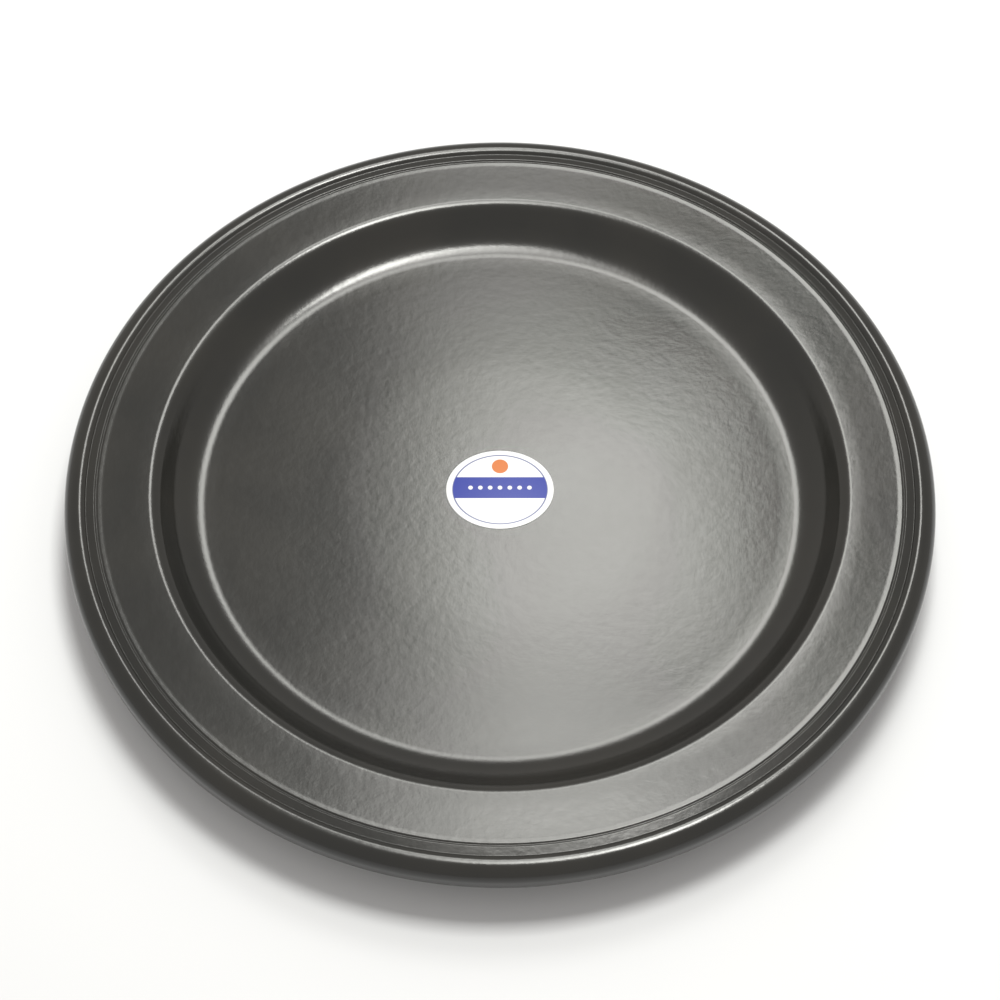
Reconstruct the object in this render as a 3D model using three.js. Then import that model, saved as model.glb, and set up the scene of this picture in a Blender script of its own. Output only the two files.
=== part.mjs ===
// A glazed stoneware dinner plate with an oval paper label in its well.
// Millimetres, +Z up. The origin is on the table, in the middle of the foot ring.
//
// The plate is turned from one half-section. A corner of that section is a point, r from the
// axis and z above the table, with the radius that rounds it off. The section runs from the
// middle of the well out over the lip and back underneath, so clay is always on its right.
import * as THREE from "three";

// The rim and its lip, from the plate's edge inwards
const PLATE_RADIUS = 140;
const CROWN_WIDTH = 6.5; // from the plate's edge in to the crown's inner corner
const CROWN_RUN = 0.7; // the slope from the groove up to the crown
const LIP_ROLL = 4.9; // the crown's outer round
const CROWN_ROUND = 2.6; // the crown's inner round
const LIP_RISE = 1.1; // the lip's crown above the rim's outer edge
const LIP_THICKNESS = 9.2; // from the crown down to the lip's underside
const LIP_LOWER_ROUND = 1.8;
const HEEL_ROUND = 2.5; // where the lip's underside turns up to the rim
const HEEL_INSET = 12; // from the plate's edge in to that turn
const HEEL_RUN = 3.2; // how far in the turn reaches
const GROOVE_DEPTH = 0.15; // of the two fine grooves, below the rim's outer edge
const BAND_WIDTH = 2.7; // the band between them, which slopes down outwards
const BAND_RISE = 0.38; // of its inner side, above the rim's outer edge
const NOTCH_WIDTH = 1.2; // the inner groove, from the band to the raised edge
const EDGE_RISE = 0.16; // the rim's raised edge beside that groove
const EDGE_WIDTH = 1.4;
const RIM_WIDTH = 17; // the flat part, from the raised edge to the shoulder
const RIM_RISE = 0.2; // the flat part climbs this much from the shoulder outwards

// The well. Its floor is a level disc, and from there it falls a little to the wall's foot.
const WELL_DEPTH = 10.8; // from the shoulder down to the disc
const WALL_ANGLE = THREE.MathUtils.degToRad(53); // of the wall above level
const SHOULDER_ROUND = 5; // from the rim to the wall
const FLOOR_FILLET = 13; // from the wall to the floor
const DISC_RADIUS = 51;
const FLOOR_FALL = 0.5; // from the disc out to the wall's foot

// Thickness of the finished wall, from glaze to glaze
const FLOOR_THICKNESS = 7.4;
const WALL_THICKNESS = 6.5;
const RIM_THICKNESS = 6.5;
const UNDER_RIM_ROUND = 5; // the finger hollow under the rim
const BELLY_ROUND = 15; // from the wall's underside to the base

// The foot ring
const FOOT_INSET = 21; // from the base's outer corner in to the ring
const FOOT_WIDTH = 5.5;
const FOOT_HEIGHT = 5.5; // from the table up to the middle of the base
const FOOT_FILLET = 1.8;
const FOOT_EDGE_ROUND = 0.9;

// Glaze and label
const GLAZE_THICKNESS = 0.4;
const GLAZE_STOP = 1.2; // the glaze ends this far above the table
const LABEL_LENGTH = 35;
const LABEL_WIDTH = 30;
const LABEL_THICKNESS = 0.25;
const LABEL_MARGIN = 6; // from the label out to where the floor's own facets start
const FIT_GAP = 0.3; // between solids that touch on the real plate

// How finely the rounds are cut
const TURN_STEPS = 40; // facets around the axis
const CHORD_ERROR = 0.12; // between a round of the section and its chords
const LABEL_STEPS = 8; // on each quarter of the oval

const corner = (r, z, round = 0) => ({ r, z, round });

// The corner at radius r on the straight line from one corner to another
function onLine(from, to, r, round) {
  const share = (r - from.r) / (to.r - from.r);
  return corner(r, THREE.MathUtils.lerp(from.z, to.z, share), round);
}

// The section's edges, moved to the right by their own distances. Corners that stick out get
// a smaller round and corners that turn in a larger one, so the two outlines stay parallel.
function inset(corners, distances) {
  const edges = distances.map((distance, i) => {
    const [start, end] = [corners[i], corners[i + 1]];
    const along = new THREE.Vector2(end.r - start.r, end.z - start.z).normalize();
    const shift = new THREE.Vector2(along.y, -along.x).multiplyScalar(distance);
    return { along, start: shift.clone().add({ x: start.r, y: start.z }), shift };
  });
  const moved = [corner(edges[0].start.x, edges[0].start.y)];
  for (let i = 1; i < edges.length; i += 1) {
    const [before, after] = [edges[i - 1], edges[i]];
    const turn = before.along.cross(after.along);
    const reach = after.start.clone().sub(before.start).cross(after.along) / turn;
    const meeting = before.along.clone().multiplyScalar(reach).add(before.start);
    const change = (Math.sign(turn) * (distances[i - 1] + distances[i])) / 2;
    moved.push(corner(meeting.x, meeting.y, Math.max(corners[i].round + change, 0)));
  }
  const end = corners.at(-1);
  moved.push(corner(end.r + edges.at(-1).shift.x, end.z + edges.at(-1).shift.y));
  return moved;
}

// The section's points, with each round cut into chords. Two rounds that don't fit on the edge
// between them share it.
function roundOff(corners) {
  const places = corners.map(({ r, z }) => new THREE.Vector2(r, z));
  const rounds = corners.map(({ round }, i) => {
    if (!round || !places[i - 1] || !places[i + 1]) return { cut: 0 };
    const back = places[i - 1].clone().sub(places[i]);
    const ahead = places[i + 1].clone().sub(places[i]);
    const turn = Math.PI - back.angleTo(ahead);
    return { back, ahead, turn, cut: round * Math.tan(turn / 2) };
  });
  const shareOf = (i) => {
    const wanted = (rounds[i]?.cut ?? 0) + (rounds[i + 1]?.cut ?? 0);
    return wanted ? Math.min(1, places[i].distanceTo(places[i + 1]) / wanted) : 1;
  };
  return places.flatMap((place, i) => {
    const { back, ahead, turn, cut } = rounds[i];
    if (!cut) return [place];
    const reach = cut * Math.min(shareOf(i - 1), shareOf(i));
    const from = back.setLength(reach);
    const centre = from.clone().add(ahead.setLength(reach)).divideScalar(1 - Math.cos(turn));
    const radius = reach / Math.tan(turn / 2);
    const chord = 2 * Math.acos(1 - Math.min(CHORD_ERROR / radius, 1));
    const steps = Math.ceil(turn / chord);
    const spin = -Math.sign(from.cross(ahead)) * (turn / steps);
    return Array.from({ length: steps + 1 }, (_, step) =>
      from.clone().rotateAround(centre, spin * step).add(place),
    );
  });
}

function turned(points) {
  const geometry = new THREE.LatheGeometry([...points].reverse(), TURN_STEPS);
  geometry.rotateX(Math.PI / 2);
  return geometry;
}

// Heights above the table and radii that follow from the sizes
const baseZ = FOOT_HEIGHT;
const floorZ = baseZ + FLOOR_THICKNESS;
const wallFootZ = floorZ - FLOOR_FALL;
const shoulderZ = floorZ + WELL_DEPTH;
const rimZ = shoulderZ + RIM_RISE;
const crownZ = rimZ + LIP_RISE;
const lipUnderZ = crownZ - LIP_THICKNESS;
const crownRadius = PLATE_RADIUS - CROWN_WIDTH;
const grooveRadius = crownRadius - CROWN_RUN;
const bandRadius = grooveRadius - BAND_WIDTH;
const edgeRadius = bandRadius - NOTCH_WIDTH;
const rimRadius = edgeRadius - EDGE_WIDTH;
const heelRadius = PLATE_RADIUS - HEEL_INSET;
const shoulderRadius = rimRadius - RIM_WIDTH;
const wallFootRadius = shoulderRadius - (WELL_DEPTH + FLOOR_FALL) / Math.tan(WALL_ANGLE);

// The eating side, from the middle of the well to the rim's outer edge
const face = [
  corner(0, floorZ),
  corner(DISC_RADIUS, floorZ),
  corner(wallFootRadius, wallFootZ, FLOOR_FILLET),
  corner(shoulderRadius, shoulderZ, SHOULDER_ROUND),
  corner(rimRadius, rimZ),
];

// The back of the same wall, from the base out to the rim
const thicknesses = [FLOOR_THICKNESS, FLOOR_THICKNESS, WALL_THICKNESS, RIM_THICKNESS];
const [, underDisc, belly, underRim, underLip] = inset(face, thicknesses);
const footRadius = belly.r - FOOT_INSET;
const footInner = footRadius - FOOT_WIDTH;

// The rim's raised edge, the inner groove and the band's inner side
const ridges = [
  corner(edgeRadius, rimZ + EDGE_RISE),
  corner((edgeRadius + bandRadius) / 2, rimZ - GROOVE_DEPTH),
  corner(bandRadius, rimZ + BAND_RISE),
];

// From the outer groove over the lip and back to the foot ring's glaze line
const lipAndBack = [
  corner(grooveRadius, rimZ - GROOVE_DEPTH),
  corner(crownRadius, crownZ, CROWN_ROUND),
  corner(PLATE_RADIUS, crownZ, LIP_ROLL),
  corner(PLATE_RADIUS, lipUnderZ, LIP_LOWER_ROUND),
  corner(heelRadius, lipUnderZ, HEEL_ROUND),
  onLine(underRim, underLip, heelRadius - HEEL_RUN, HEEL_ROUND),
  corner(underRim.r, underRim.z, UNDER_RIM_ROUND),
  corner(belly.r, belly.z, BELLY_ROUND),
  onLine(underDisc, belly, footRadius, FOOT_FILLET),
  corner(footRadius, GLAZE_STOP),
];

// The base inside the foot ring
const underBase = [
  corner(footInner, GLAZE_STOP),
  onLine(underDisc, belly, footInner, FOOT_FILLET),
  underDisc,
  corner(0, baseZ),
];

// The glazed outside without the inner groove and what is beside it
const plain = [...face.slice(0, -1), ...lipAndBack];
const evenInset = (corners, distance) => inset(corners, corners.slice(1).fill(distance));

function plateBody() {
  const depth = GLAZE_THICKNESS + FIT_GAP;
  const foot = [
    corner(footRadius - depth, 0, FOOT_EDGE_ROUND),
    corner(footInner + depth, 0, FOOT_EDGE_ROUND),
  ];
  const outside = evenInset(plain, depth).slice(0, -1);
  const underside = evenInset(underBase, depth).slice(1);
  return turned(roundOff([...outside, ...foot, ...underside]));
}

function glazeCoat() {
  const [middle, ...restOfFace] = face;
  const besideLabel = corner(LABEL_LENGTH / 2 + LABEL_MARGIN, floorZ);
  const outer = [middle, besideLabel, ...restOfFace, ...ridges, ...lipAndBack];
  const inner = evenInset(plain, GLAZE_THICKNESS);
  return turned([...roundOff(outer), ...roundOff(inner).reverse()]);
}

function baseGlaze() {
  const inner = evenInset(underBase, GLAZE_THICKNESS);
  return turned([...roundOff(inner).reverse(), ...roundOff(underBase)]);
}

function paperLabel() {
  const oval = new THREE.Shape();
  oval.absellipse(0, 0, LABEL_LENGTH / 2, LABEL_WIDTH / 2, 0, 2 * Math.PI);
  const options = { depth: LABEL_THICKNESS, bevelEnabled: false, curveSegments: LABEL_STEPS };
  return new THREE.ExtrudeGeometry(oval, options);
}

const glaze = { color: "#34322e", roughness: 0.34, metalness: 0 };
const clay = { color: "#b09a80", roughness: 0.9, metalness: 0 };
const paper = { color: "#f1f1f0", roughness: 0.55, metalness: 0 };

const plate = new THREE.Group();

function add(name, geometry, finish) {
  const mesh = new THREE.Mesh(geometry, new THREE.MeshStandardMaterial(finish));
  mesh.name = name;
  plate.add(mesh);
  return mesh;
}

add("plate_body", plateBody(), clay);
add("glaze_coat", glazeCoat(), glaze);
add("base_glaze", baseGlaze(), glaze);
add("label", paperLabel(), paper).position.z = floorZ + FIT_GAP;

export default plate;
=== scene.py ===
"""A glazed stoneware dinner plate with an oval paper label, on a plain pale studio floor.

Metres, +Z up. The plate is thrown here as a potter's template would cut it: a half-section made
of a few corners, each rounded off, is swept once round the axis.
"""

from math import ceil, cos, pi, radians, sin, tan

import bmesh
import bpy
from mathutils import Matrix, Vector, noise


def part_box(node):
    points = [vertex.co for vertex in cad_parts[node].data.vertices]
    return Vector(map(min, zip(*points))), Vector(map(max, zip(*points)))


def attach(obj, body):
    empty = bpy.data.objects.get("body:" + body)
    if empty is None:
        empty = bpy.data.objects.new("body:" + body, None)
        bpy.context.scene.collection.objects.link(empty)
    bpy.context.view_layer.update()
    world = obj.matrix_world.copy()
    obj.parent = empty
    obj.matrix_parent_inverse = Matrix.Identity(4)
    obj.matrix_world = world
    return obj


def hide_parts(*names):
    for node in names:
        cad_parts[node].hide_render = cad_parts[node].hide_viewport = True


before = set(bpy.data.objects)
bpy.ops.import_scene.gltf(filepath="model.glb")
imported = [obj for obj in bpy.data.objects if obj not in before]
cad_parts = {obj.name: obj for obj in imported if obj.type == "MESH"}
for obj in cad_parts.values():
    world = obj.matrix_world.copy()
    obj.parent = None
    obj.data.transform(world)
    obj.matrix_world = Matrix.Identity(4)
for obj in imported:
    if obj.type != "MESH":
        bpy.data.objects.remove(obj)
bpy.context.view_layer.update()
MM = 0.001

# --- Sizes read from the frame -----------------------------------------------------------------
coat_low, coat_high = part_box("glaze_coat")
label_low, label_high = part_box("label")
plate_radius = coat_high.x
crown_z = coat_high.z
glaze_stop = coat_low.z
fit_gap = 0.3 * MM  # between the disc and the label's solid
disc_z = label_low.z - fit_gap

# --- Sizes of the half-section, from the lip inwards -------------------------------------------
crown_width = 6.5 * MM
crown_run = 0.7 * MM
lip_roll = 4.9 * MM
crown_round = 2.6 * MM
lip_rise = 1.1 * MM
lip_thickness = 9.2 * MM
lip_lower_round = 1.8 * MM
heel_round = 2.5 * MM
heel_inset = 12 * MM
heel_run = 3.2 * MM
groove_depth = 0.15 * MM
groove_round = 0.25 * MM
band_width = 2.7 * MM
band_rise = 0.38 * MM
band_round = 0.3 * MM
notch_width = 1.2 * MM
edge_rise = 0.16 * MM
edge_round = 0.5 * MM
edge_width = 1.4 * MM
edge_ease = 8 * MM
rim_width = 17.0 * MM
rim_rise = 0.2 * MM
wall_angle = radians(53)
shoulder_round = 5 * MM
floor_fillet = 13 * MM
disc_radius = 51 * MM
disc_round = 350 * MM
floor_fall = 0.5 * MM
base_thickness = 7.4 * MM
wall_thickness = 6.5 * MM
under_rim_round = 5 * MM
belly_round = 15 * MM
foot_inset = 21 * MM
foot_width = 5.5 * MM
foot_fillet = 1.8 * MM
foot_edge_round = 0.9 * MM
glaze_thickness = 0.4 * MM

# The slow ripple of a fired plate, always downwards and none where it stands
ripple_depth = 0.05 * MM
ripple_scale = 22

# How finely the pieces are cut
turn_steps = 240
arc_step = radians(5)
fewest_arc_cells = 3
longest_cell = 5 * MM
pole_reach = 0.001 * MM

# --- Half-section ------------------------------------------------------------------------------


def corner(r, z, round_=0.0):
    """A corner at radius r and height z, and the radius that rounds it off."""
    return Vector((r, 0, z)), round_


def on_line(start, end, r, round_=0.0):
    """The corner at radius r on the straight line between two others."""
    (a, _), (b, _) = start, end
    return corner(r, a.z + (b.z - a.z) * (r - a.x) / (b.x - a.x), round_)


def inset(corners, distances):
    """The section's edges moved to the right by their own distances, its rounds kept parallel."""
    edges = []
    for (a, _), (b, _), distance in zip(corners, corners[1:], distances):
        along = (b - a).normalized()
        shift = Vector((along.z, 0, -along.x)) * distance
        edges.append((a + shift, b + shift, along, distance))
    moved = [(edges[0][0], 0.0)]
    for here, ahead, (_, round_) in zip(edges, edges[1:], corners[1:]):
        start, _, before, near = here
        to, _, after, far = ahead
        turn = before.x * after.z - before.z * after.x
        gap = to - start
        reach = (gap.x * after.z - gap.z * after.x) / turn
        change = (near + far) / 2 if turn > 0 else -(near + far) / 2
        moved.append((start + before * reach, max(round_ + change, 0.0)))
    moved.append((edges[-1][1], 0.0))
    return moved


def even_inset(corners, distance):
    """The same with one distance for every edge."""
    return inset(corners, [distance] * (len(corners) - 1))


def wire(corners):
    """The section as a chain of edges, its corners beveled and its long edges cut up."""
    bm = bmesh.new()
    verts = [bm.verts.new(place) for place, _ in corners]
    for pair in zip(verts, verts[1:]):
        bm.edges.new(pair)
    bends = []
    for before, here, after, (_, round_) in zip(verts, verts[1:], verts[2:], corners[1:]):
        turn = (here.co - before.co).angle(after.co - here.co)
        if round_:
            segments = max(fewest_arc_cells, ceil(turn / arc_step))
            bends.append((here, round_ * tan(turn / 2), segments))
    for vert, cut, segments in bends:
        bmesh.ops.bevel(bm, geom=[vert], offset=cut, offset_type="OFFSET", affect="VERTICES",
                        segments=segments, profile=0.5, material=-1)
    for edge in list(bm.edges):
        cuts = ceil(edge.calc_length() / longest_cell) - 1
        if cuts > 0:
            bmesh.ops.subdivide_edges(bm, edges=[edge], cuts=cuts)
    return bm


def thrown(name, corners):
    """A piece swept once round the axis from its section."""
    bm = wire(corners)
    bmesh.ops.spin(bm, geom=bm.verts[:] + bm.edges[:], cent=(0, 0, 0), axis=(0, 0, 1),
                   angle=2 * pi, steps=turn_steps, use_merge=True, use_duplicate=False)
    poles = [vert for vert in bm.verts if vert.co.xy.length < pole_reach]
    bmesh.ops.remove_doubles(bm, verts=poles, dist=pole_reach)
    for vert in bm.verts:
        dip = (1 + noise.noise(vert.co * ripple_scale)) / 2
        vert.co.z -= ripple_depth * dip * min(1, vert.co.z / disc_z)
    bmesh.ops.recalc_face_normals(bm, faces=bm.faces)
    return piece(name, bm)


def piece(name, bm):
    """The finished bmesh as a smooth-shaded object at the origin."""
    for cell in bm.faces:
        cell.smooth = True
    mesh = bpy.data.meshes.new(name)
    bm.to_mesh(mesh)
    bm.free()
    obj = bpy.data.objects.new(name, mesh)
    bpy.context.scene.collection.objects.link(obj)
    return obj


# --- Heights, radii and outlines that follow from the sizes ------------------------------------
rim_z = crown_z - lip_rise
shoulder_z = rim_z - rim_rise
wall_foot_z = disc_z - floor_fall
lip_under_z = crown_z - lip_thickness
crown_radius = plate_radius - crown_width
groove_radius = crown_radius - crown_run
band_radius = groove_radius - band_width
edge_radius = band_radius - notch_width
rim_radius = edge_radius - edge_width
shoulder_radius = rim_radius - rim_width
wall_foot_radius = shoulder_radius - (shoulder_z - wall_foot_z) / tan(wall_angle)

# The eating side, from the middle of the well to the rim's raised edge
face = [
    corner(0, disc_z),
    corner(disc_radius, disc_z, disc_round),
    corner(wall_foot_radius, wall_foot_z, floor_fillet),
    corner(shoulder_radius, shoulder_z, shoulder_round),
    corner(rim_radius, rim_z, edge_ease),
]
plain_face = face[:-1]

# The back of the same wall, from the base out to the rim
thicknesses = [base_thickness, base_thickness, wall_thickness, wall_thickness]
_, under_disc, belly, under_rim, under_lip = inset(face, thicknesses)
heel_radius = plate_radius - heel_inset
foot_radius = belly[0].x - foot_inset
foot_inner = foot_radius - foot_width

# The rim's raised edge, the inner groove and the band's inner side
ridges = [
    corner(edge_radius, rim_z + edge_rise, edge_round),
    corner((edge_radius + band_radius) / 2, rim_z - groove_depth, groove_round),
    corner(band_radius, rim_z + band_rise, band_round),
]

# From the outer groove over the lip and back to the foot ring's glaze line
lip_and_back = [
    corner(groove_radius, rim_z - groove_depth, groove_round),
    corner(crown_radius, crown_z, crown_round),
    corner(plate_radius, crown_z, lip_roll),
    corner(plate_radius, lip_under_z, lip_lower_round),
    corner(heel_radius, lip_under_z, heel_round),
    on_line(under_rim, under_lip, heel_radius - heel_run, heel_round),
    (under_rim[0], under_rim_round),
    (belly[0], belly_round),
    on_line(under_disc, belly, foot_radius, foot_fillet),
    corner(foot_radius, glaze_stop),
]

# The base inside the foot ring
under_base = [
    corner(foot_inner, glaze_stop),
    on_line(under_disc, belly, foot_inner, foot_fillet),
    (under_disc[0], disc_round),
    corner(0, under_disc[0].z),
]

# --- Glaze and clay ----------------------------------------------------------------------------


def glazed_skin(name, outer, plain):
    """A coat of glaze between its outside and its clay side, which has no fine ridges."""
    clay_side = even_inset(plain, glaze_thickness)
    return thrown(name, outer + clay_side[::-1])


plain_outside = plain_face + lip_and_back
coat = glazed_skin("satin_glaze_coat", face + ridges + lip_and_back, plain_outside)
base = glazed_skin("satin_base_glaze", under_base, under_base)

outside = even_inset(plain_outside, glaze_thickness)[:-1]
underside = even_inset(under_base, glaze_thickness)[1:]
foot = [
    corner(foot_radius - glaze_thickness, 0, foot_edge_round),
    corner(foot_inner + glaze_thickness, 0, foot_edge_round),
]
clay = thrown("fired_clay_body", outside + foot + underside)

# --- Paper label -------------------------------------------------------------------------------
label_half = Vector((label_high.x, label_high.y, 0))
label_steps = 128
paper_thickness = 0.16 * MM
paper_edge_round = 0.05 * MM
paper_edge_cells = 3


def paper_label():
    """The oval cut from paper, flat on the disc, with its upper edge eased."""
    bm = bmesh.new()
    bmesh.ops.create_circle(bm, cap_ends=True, segments=label_steps, radius=1)
    bmesh.ops.scale(bm, vec=(label_half.x, label_half.y, 1), verts=bm.verts)
    bottom = bm.faces[:]
    lifted = bmesh.ops.extrude_face_region(bm, geom=bottom)["geom"]
    top = [part for part in lifted if isinstance(part, bmesh.types.BMVert)]
    bmesh.ops.translate(bm, vec=(0, 0, paper_thickness), verts=top)
    upper_edge = [edge for edge in bm.edges if edge.verts[0] in top and edge.verts[1] in top]
    bmesh.ops.bevel(bm, geom=upper_edge, offset=paper_edge_round, offset_type="OFFSET",
                    affect="EDGES", segments=paper_edge_cells, profile=0.5, material=-1)
    bmesh.ops.translate(bm, vec=(0, 0, disc_z), verts=bm.verts)
    bmesh.ops.recalc_face_normals(bm, faces=bm.faces)
    return piece("paper_label", bm)


label = paper_label()

# --- Shader nodes ------------------------------------------------------------------------------


class Number:
    """A number that varies over a surface, so that shader maths is written as an expression."""

    def __init__(self, finish, socket):
        self.finish, self.socket = finish, socket

    def _math(self, operation, first, second=0.0):
        numbers = {0: first, 1: second}
        return self.finish.node("ShaderNodeMath", {"operation": operation}, numbers)("Value")

    def __add__(self, other):
        return self._math("ADD", self, other)

    def __radd__(self, other):
        return self._math("ADD", other, self)

    def __sub__(self, other):
        return self._math("SUBTRACT", self, other)

    def __rsub__(self, other):
        return self._math("SUBTRACT", other, self)

    def __mul__(self, other):
        return self._math("MULTIPLY", self, other)

    def __rmul__(self, other):
        return self._math("MULTIPLY", other, self)

    def __truediv__(self, other):
        return self._math("DIVIDE", self, other)

    def __rtruediv__(self, other):
        return self._math("DIVIDE", other, self)

    def __pow__(self, other):
        return self._math("POWER", self, other)

    def __gt__(self, other):
        return self._math("GREATER_THAN", self, other)

    def __lt__(self, other):
        return self._math("LESS_THAN", self, other)

    def __abs__(self):
        return self._math("ABSOLUTE", self)

    def root(self):
        return self._math("SQRT", self)

    def fraction(self):
        return self._math("FRACT", self)

    def ramp(self, low, high):
        """0 below low, 1 above high, and a smooth step between."""
        settings = {"interpolation_type": "SMOOTHSTEP"}
        limits = {"Value": self, "From Min": low, "From Max": high}
        return self.finish.node("ShaderNodeMapRange", settings, limits)("Result")


class Finish:
    """A material with a Principled shader, whose nodes are added one by one."""

    MIX_BELOW, MIX_ABOVE, MIX_RESULT = 6, 7, 2  # a Mix node's colour sockets

    def __init__(self, name, **constants):
        self.material = bpy.data.materials.new(name)
        self.material.use_nodes = True
        self.tree = self.material.node_tree
        self.shader = self.tree.nodes["Principled BSDF"]
        for socket, value in constants.items():
            self.shader.inputs[socket.replace("_", " ")].default_value = value
        self.place = self.node("ShaderNodeTexCoord", {}, {})("Object")

    def node(self, kind, settings, inputs):
        """Adds a node and returns a function that gives its outputs by name."""
        node = self.tree.nodes.new(kind)
        for key, value in settings.items():
            setattr(node, key, value)
        for key, value in inputs.items():
            self.feed(node.inputs[key], value)
        return lambda output: Number(self, node.outputs[output])

    def feed(self, socket, value):
        """Links a socket to a varying number, or sets it to a constant."""
        if isinstance(value, Number):
            self.tree.links.new(value.socket, socket)
        else:
            socket.default_value = value

    def grain(self, scale, detail=2.0, roughness=0.5):
        """Noise with a number of grains to the metre."""
        inputs = {"Vector": self.place, "Scale": scale, "Detail": detail,
                  "Roughness": roughness}
        return self.node("ShaderNodeTexNoise", {}, inputs)("Fac")

    def xyz(self):
        """The place on the plate, in metres from its origin."""
        split = self.node("ShaderNodeSeparateXYZ", {}, {"Vector": self.place})
        return split("X"), split("Y"), split("Z")

    def blend(self, share, below, above):
        """A colour between two, by a share from 0 to 1."""
        inputs = {"Factor": share, self.MIX_BELOW: below, self.MIX_ABOVE: above}
        return self.node("ShaderNodeMix", {"data_type": "RGBA"}, inputs)(self.MIX_RESULT)

    def bump(self, height, depth, under=None):
        """A surface normal from a height, in shares of a depth in metres."""
        inputs = {"Height": height, "Distance": depth, "Strength": 1.0}
        if under:
            inputs["Normal"] = under
        return self.node("ShaderNodeBump", {}, inputs)("Normal")

    def set(self, **sockets):
        """Feeds the shader, and gives the material."""
        for socket, value in sockets.items():
            self.feed(self.shader.inputs[socket.replace("_", " ")], value)
        return self.material


def srgb(red, green, blue):
    """A display colour, each part from 0 to 255, as scene-linear RGBA."""
    def linear(part):
        part /= 255
        return part / 12.92 if part <= 0.04045 else ((part + 0.055) / 1.055) ** 2.4
    return (linear(red), linear(green), linear(blue), 1.0)


# --- Finishes ----------------------------------------------------------------------------------


def satin_glaze():
    """Charcoal satin glaze: fine orange peel with pits, and a slightly cloudy tone and gloss."""
    glaze = Finish("satin_charcoal_glaze", IOR=1.54)
    clouds = glaze.grain(28, detail=3)
    peel = glaze.grain(360, detail=2)
    pits = glaze.grain(1900, detail=2)
    tone = glaze.blend(clouds.ramp(0.35, 0.7), srgb(20, 20, 18), srgb(27, 26, 23))
    roughness = 0.15 + 0.06 * clouds + 0.03 * peel
    soft = glaze.bump(peel, 0.034 * MM)
    normal = glaze.bump(pits, 0.008 * MM, under=soft)
    return glaze.set(Base_Color=tone, Roughness=roughness, Normal=normal)


rub_height = 0.25 * MM


def bare_clay():
    """Fired clay: matt, sandy, with small iron specks and a grey rub where it stands."""
    bare = Finish("bare_fired_clay", IOR=1.5)
    sand = bare.grain(900, detail=4, roughness=0.65)
    patches = bare.grain(60, detail=3)
    specks = bare.grain(1400, detail=1).ramp(0.68, 0.74)
    body = bare.blend(patches.ramp(0.3, 0.7), srgb(196, 170, 138), srgb(176, 148, 116))
    speckled = bare.blend(specks, body, srgb(92, 66, 46))
    _, _, height = bare.xyz()
    rub = (1 - height.ramp(0.0, rub_height)) * patches.ramp(0.35, 0.65)
    worn = bare.blend(0.5 * rub, speckled, srgb(120, 112, 102))
    roughness = 0.92 - 0.1 * rub
    normal = bare.bump(sand, 0.06 * MM)
    return bare.set(Base_Color=worn, Roughness=roughness, Normal=normal)


# The label's plain print, measured from its middle
ring_inset = 2.0 * MM
ring_width = 0.45 * MM
band_low = -3.4 * MM
band_high = 4.7 * MM
dot_centre = 8.9 * MM
dot_radius = 2.7 * MM
row_pitch = 3.2 * MM
row_radius = 0.75 * MM
row_count = 7
ink_edge = 0.08 * MM


def inked_within(distance, reach):
    """1 up to a distance, 0 beyond it, with the soft edge of print."""
    return 1 - distance.ramp(reach - ink_edge, reach + ink_edge)


def distance_from(x, y, centre_y=0.0):
    """Distance on the label from a point above its middle."""
    return (x ** 2 + (y - centre_y) ** 2).root()


def printed_paper():
    """Coated white paper with a thin oval ring, a plain band with a row of dots, and one dot."""
    paper = Finish("printed_label_paper", IOR=1.48)
    x, y, _ = paper.xyz()
    white = srgb(210, 211, 213)

    # How far in from the oval's edge, measured along the radius
    mean_half = (label_half.x + label_half.y) / 2
    from_edge = (1 - distance_from(x / label_half.x, y / label_half.y)) * mean_half
    ring = inked_within(abs(from_edge - ring_inset), ring_width / 2)
    above = y.ramp(band_low - ink_edge, band_low + ink_edge)
    inside = from_edge.ramp(ring_inset - ink_edge, ring_inset + ink_edge)
    band = above * inked_within(y, band_high) * inside
    dot = inked_within(distance_from(x, y, dot_centre), dot_radius)

    # The row of dots, folded onto one dot
    along = abs((x / row_pitch + 0.5).fraction() - 0.5) * row_pitch
    beside = distance_from(along, y, (band_low + band_high) / 2)
    row = inked_within(beside, row_radius) * (abs(x) < row_pitch * row_count / 2)

    ringed = paper.blend(ring * 0.9, white, srgb(70, 78, 125))
    banded = paper.blend(band, ringed, srgb(24, 42, 135))
    dotted = paper.blend(row * 0.92, banded, white)
    printed = paper.blend(dot, dotted, srgb(184, 102, 44))
    fibres = paper.grain(2600, detail=2)
    roughness = 0.42 + 0.12 * fibres
    normal = paper.bump(fibres, 0.004 * MM)
    return paper.set(Base_Color=printed, Roughness=roughness, Normal=normal)


# --- Pieces, their finishes and what they stand for --------------------------------------------
glaze_finish = satin_glaze()
for obj, material, node, slot in (
    (coat, glaze_finish, "glaze_coat", "satin_glaze"),
    (base, glaze_finish, "base_glaze", "satin_glaze"),
    (clay, bare_clay(), "plate_body", "bare_clay"),
    (label, printed_paper(), "label", "label_paper"),
):
    obj.data.materials.append(material)
    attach(obj, "root")
    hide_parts(node)

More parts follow.
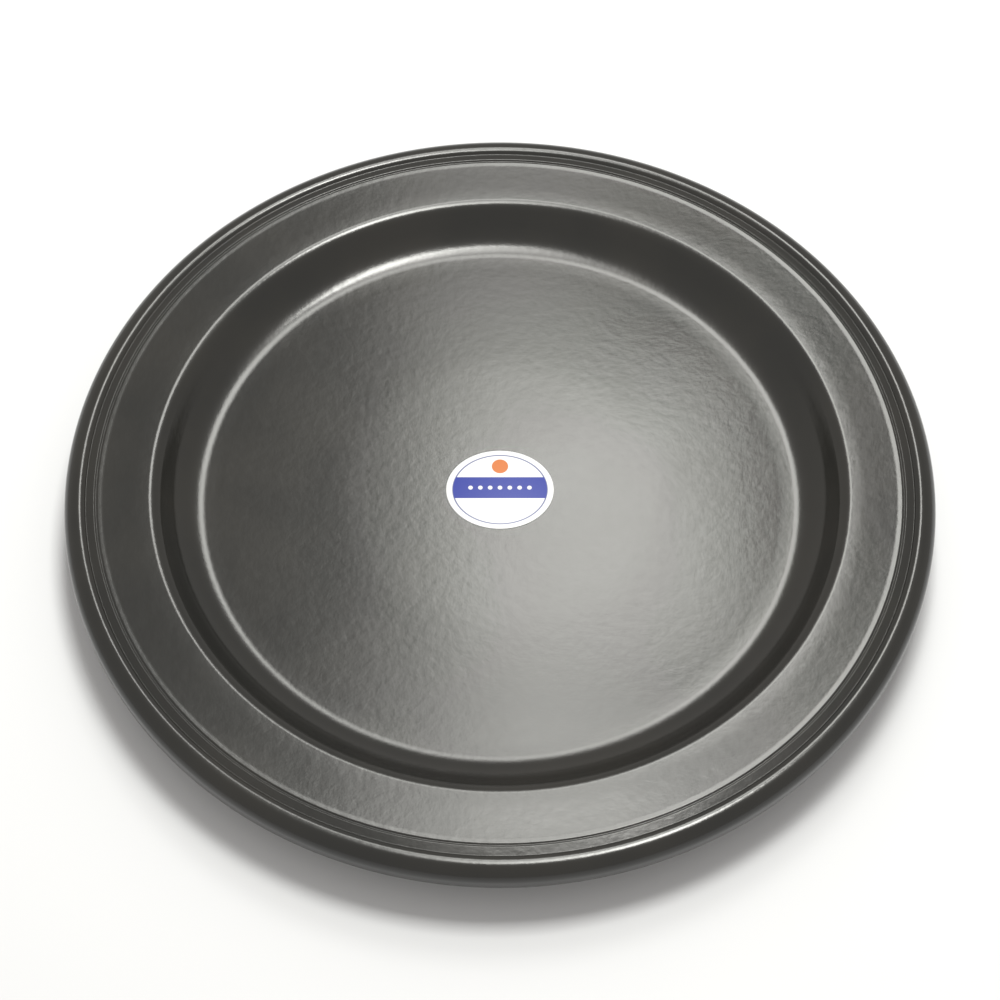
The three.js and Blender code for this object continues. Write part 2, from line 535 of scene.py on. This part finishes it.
# --- Studio ------------------------------------------------------------------------------------
floor_half = 12
floor_cells = 4


def studio_floor():
    bm = bmesh.new()
    bmesh.ops.create_grid(bm, x_segments=floor_cells, y_segments=floor_cells, size=floor_half)
    floor = piece("studio_floor", bm)
    paint = Finish("pale_floor_paint", Roughness=0.9, Base_Color=srgb(210, 211, 214))
    floor.data.materials.append(paint.material)


ceiling_height = 1.0
panel_white = (1.0, 1.0, 0.95)
air_white = (1.0, 0.97, 0.92, 1.0)
air_strength = 0.72


def panel(name, x, y, width, depth, radiance):
    """A soft rectangular light that faces down, as bright all over as its radiance."""
    light = bpy.data.lights.new(name, "AREA")
    light.shape = "RECTANGLE"
    light.size, light.size_y = width, depth
    light.energy = radiance * pi * width * depth
    light.color = panel_white
    obj = bpy.data.objects.new(name, light)
    obj.location = (x, y, ceiling_height)
    bpy.context.scene.collection.objects.link(obj)


def studio_light():
    panel("key_panel", x=0.09, y=0.60, width=0.26, depth=0.32, radiance=11)
    panel("long_panel", x=0.01, y=0.51, width=0.20, depth=0.92, radiance=3.8)
    panel("top_panel", x=0.10, y=0.15, width=0.28, depth=0.26, radiance=34)
    world = bpy.data.worlds.new("studio_air")
    world.use_nodes = True
    air = world.node_tree.nodes["Background"]
    air.inputs["Color"].default_value = air_white
    air.inputs["Strength"].default_value = air_strength
    bpy.context.scene.world = world


# The camera stands south of the plate and looks down on it
camera_elevation = radians(57.8)
camera_distance = 0.742
camera_lens = 82
camera_aim = Vector((0, -0.004, disc_z))


def studio_camera():
    camera = bpy.data.objects.new("camera", bpy.data.cameras.new("camera"))
    back = Vector((0, -cos(camera_elevation), sin(camera_elevation)))
    camera.location = Vector((0, 0, disc_z)) + back * camera_distance
    camera.rotation_euler = (camera_aim - camera.location).to_track_quat("-Z", "Y").to_euler()
    camera.data.lens = camera_lens
    bpy.context.scene.collection.objects.link(camera)
    bpy.context.scene.camera = camera


studio_floor()
studio_light()
studio_camera()
bpy.context.scene.view_settings.view_transform = "Standard"
